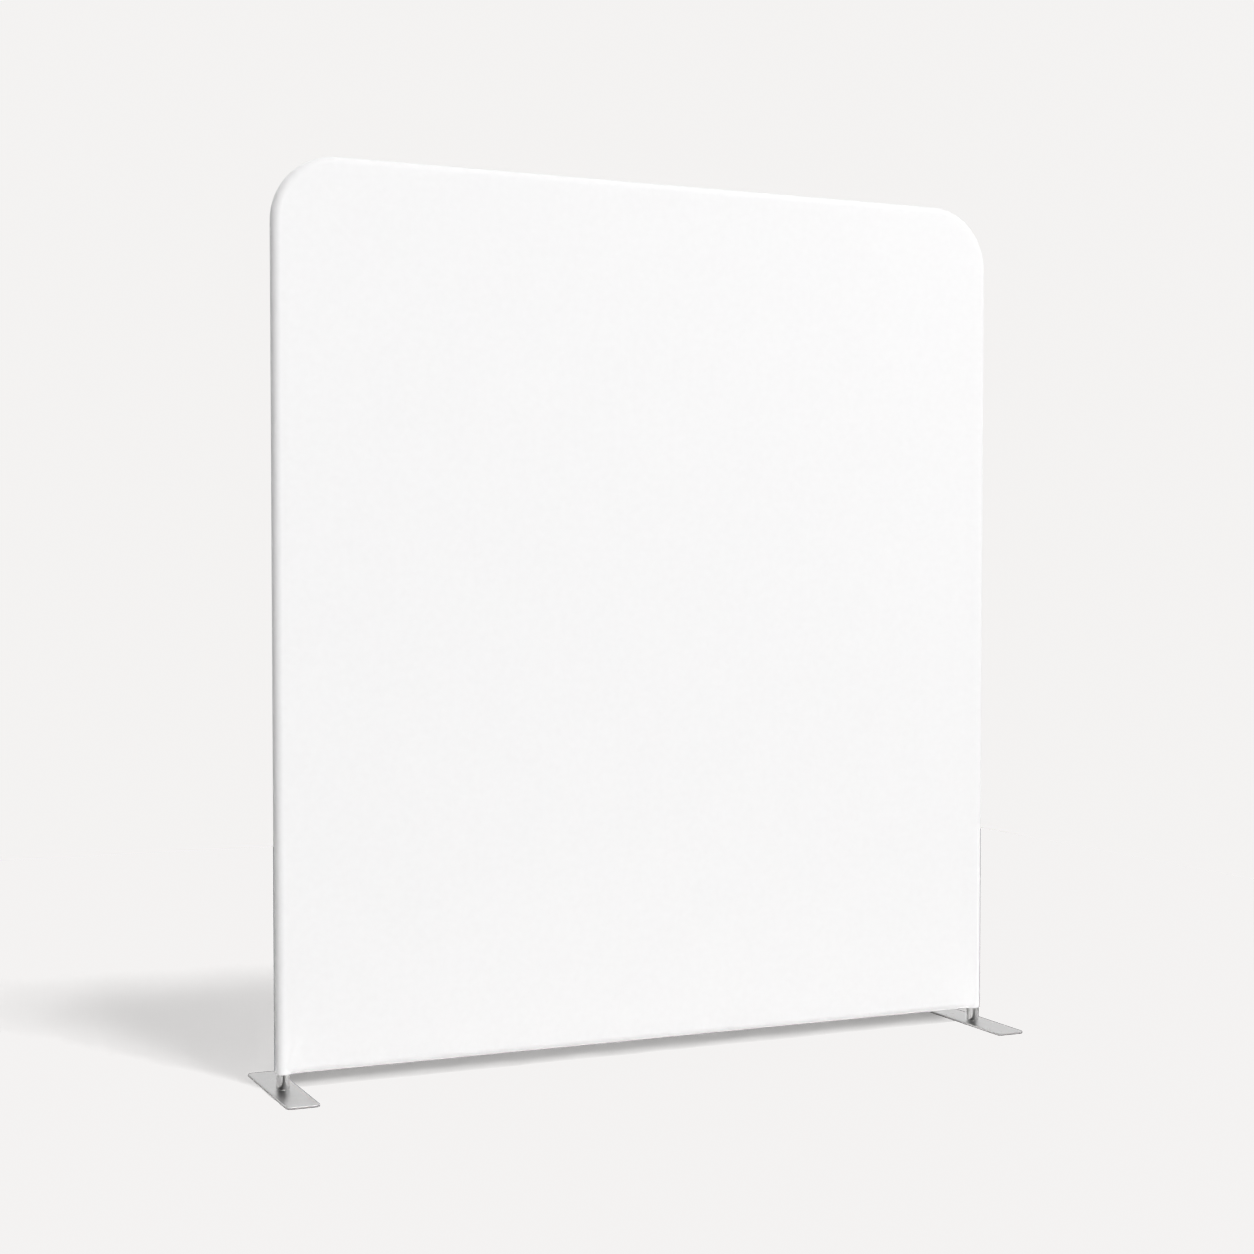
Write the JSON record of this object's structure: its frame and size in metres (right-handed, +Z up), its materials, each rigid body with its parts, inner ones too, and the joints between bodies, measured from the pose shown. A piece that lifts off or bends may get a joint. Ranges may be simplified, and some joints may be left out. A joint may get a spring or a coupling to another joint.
{
  "type": "partition wall",
  "caption": "Free-standing fabric partition wall: a white stretch cover zipped over a round-cornered tube frame, on flat swivelling foot plates.",
  "frame": {"origin": "on the floor, under the middle of the wall", "axes": "+X along the wall to the right as seen from the front, -Y is the front face, +Z up"},
  "size_m": [2.0398, 0.38, 2.24],
  "materials": {
    "cover_cloth": "matte",
    "chrome_plate": "polished",
    "chrome_post": "polished",
    "pad_rubber": "matte",
    "screw_steel": "satin",
    "frame_tube": "satin",
    "sleeve_tube": "satin",
    "button_steel": "satin",
    "spring_steel": "satin",
    "zip_tape": "matte",
    "zip_coil": "satin",
    "zip_metal": "satin"
  },
  "bodies": {
    "frame": {"foot_screw_left": "screw_steel", "foot_screw_right": "screw_steel", "post_plug_left": "screw_steel", "post_plug_right": "screw_steel", "foot_post_left": "chrome_post", "foot_post_right": "chrome_post", "upright_lower_left": "frame_tube", "upright_lower_right": "frame_tube", "upright_upper_left": "frame_tube", "upright_upper_right": "frame_tube", "corner_bend_left": "frame_tube", "corner_bend_right": "frame_tube", "top_rail_left": "frame_tube", "top_rail_right": "frame_tube", "bottom_rail_left": "frame_tube", "bottom_rail_right": "frame_tube", "cross_bar_left": "frame_tube", "cross_bar_right": "frame_tube", "bottom_tee_stubs": "frame_tube", "cross_bar_tee_stubs": "frame_tube", "sleeve_upright_left": "sleeve_tube", "sleeve_upright_right": "sleeve_tube", "sleeve_corner_left": "sleeve_tube", "sleeve_corner_right": "sleeve_tube", "sleeve_top_left": "sleeve_tube", "sleeve_top_right": "sleeve_tube", "sleeve_top_middle": "sleeve_tube", "sleeves_bottom_rail": "sleeve_tube", "sleeves_cross_bar": "sleeve_tube", "snap_springs": "spring_steel", "cover_front": "cover_cloth", "cover_back": "cover_cloth", "zip_tape_lower": "zip_tape", "zip_tape_upper": "zip_tape", "zip_coil_lower": "zip_coil", "zip_coil_upper": "zip_coil", "zip_stops": "zip_metal"},
    "foot_left": {"foot_plate_left": "chrome_plate", "foot_pads_left": "pad_rubber"},
    "foot_right": {"foot_plate_right": "chrome_plate", "foot_pads_right": "pad_rubber"},
    "zip_slider": {"zip_slider": "zip_metal"},
    "zip_pull": {"zip_pull": "zip_metal"},
    "button_post_left": {"button_post_left": "button_steel"},
    "button_post_right": {"button_post_right": "button_steel"},
    "button_upright_left": {"button_upright_left": "button_steel"},
    "button_upright_right": {"button_upright_right": "button_steel"},
    "button_corner_left": {"button_corner_left": "button_steel"},
    "button_corner_right": {"button_corner_right": "button_steel"},
    "button_top_left": {"button_top_left": "button_steel"},
    "button_top_right": {"button_top_right": "button_steel"},
    "button_top_middle": {"button_top_middle": "button_steel"},
    "button_bottom_left": {"button_bottom_left": "button_steel"},
    "button_bottom_right": {"button_bottom_right": "button_steel"},
    "button_bottom_middle": {"button_bottom_middle": "button_steel"},
    "button_cross_left": {"button_cross_left": "button_steel"},
    "button_cross_right": {"button_cross_right": "button_steel"},
    "button_cross_middle": {"button_cross_middle": "button_steel"}
  },
  "joints": [
    {"name": "foot_left_swivel", "type": "hinge", "parent": "frame", "child": "foot_left", "pos_m": [-0.9799, 0, 0.003], "axis": [0, 0, 1], "range_deg": [-90, 90]},
    {"name": "foot_right_swivel", "type": "hinge", "parent": "frame", "child": "foot_right", "pos_m": [0.9799, 0, 0.003], "axis": [0, 0, 1], "range_deg": [-90, 90]},
    {"name": "zip_slide", "type": "slide", "parent": "frame", "child": "zip_slider", "axis": [1, 0, 0], "range_m": [0, 1.876]},
    {"name": "zip_pull_flip", "type": "hinge", "parent": "zip_slider", "child": "zip_pull", "pos_m": [-0.938, 0.0223, 0.089], "axis": [0, 0, 1], "range_deg": [0, 180]},
    {"name": "press_button_post_left", "type": "slide", "parent": "frame", "child": "button_post_left", "axis": [-1, 0, 0], "range_m": [0, 0.004], "stiffness_N_per_m": 600, "deforming": ["snap_springs"]},
    {"name": "press_button_post_right", "type": "slide", "parent": "frame", "child": "button_post_right", "axis": [1, 0, 0], "range_m": [0, 0.004], "stiffness_N_per_m": 600},
    {"name": "press_button_upright_left", "type": "slide", "parent": "frame", "child": "button_upright_left", "axis": [-1, 0, 0], "range_m": [0, 0.004], "stiffness_N_per_m": 600},
    {"name": "press_button_upright_right", "type": "slide", "parent": "frame", "child": "button_upright_right", "axis": [1, 0, 0], "range_m": [0, 0.004], "stiffness_N_per_m": 600},
    {"name": "press_button_corner_left", "type": "slide", "parent": "frame", "child": "button_corner_left", "axis": [-1, 0, 0], "range_m": [0, 0.004], "stiffness_N_per_m": 600},
    {"name": "press_button_corner_right", "type": "slide", "parent": "frame", "child": "button_corner_right", "axis": [1, 0, 0], "range_m": [0, 0.004], "stiffness_N_per_m": 600},
    {"name": "press_button_top_left", "type": "slide", "parent": "frame", "child": "button_top_left", "axis": [0, 0, 1], "range_m": [0, 0.004], "stiffness_N_per_m": 600},
    {"name": "press_button_top_right", "type": "slide", "parent": "frame", "child": "button_top_right", "axis": [0, 0, 1], "range_m": [0, 0.004], "stiffness_N_per_m": 600},
    {"name": "press_button_top_middle", "type": "slide", "parent": "frame", "child": "button_top_middle", "axis": [0, 0, 1], "range_m": [0, 0.004], "stiffness_N_per_m": 600},
    {"name": "press_button_bottom_left", "type": "slide", "parent": "frame", "child": "button_bottom_left", "axis": [0, 0, -1], "range_m": [0, 0.004], "stiffness_N_per_m": 600},
    {"name": "press_button_bottom_right", "type": "slide", "parent": "frame", "child": "button_bottom_right", "axis": [0, 0, -1], "range_m": [0, 0.004], "stiffness_N_per_m": 600},
    {"name": "press_button_bottom_middle", "type": "slide", "parent": "frame", "child": "button_bottom_middle", "axis": [0, 0, -1], "range_m": [0, 0.004], "stiffness_N_per_m": 600},
    {"name": "press_button_cross_left", "type": "slide", "parent": "frame", "child": "button_cross_left", "axis": [0, 0, 1], "range_m": [0, 0.004], "stiffness_N_per_m": 600},
    {"name": "press_button_cross_right", "type": "slide", "parent": "frame", "child": "button_cross_right", "axis": [0, 0, 1], "range_m": [0, 0.004], "stiffness_N_per_m": 600},
    {"name": "press_button_cross_middle", "type": "slide", "parent": "frame", "child": "button_cross_middle", "axis": [0, 0, 1], "range_m": [0, 0.004], "stiffness_N_per_m": 600}
  ]
}
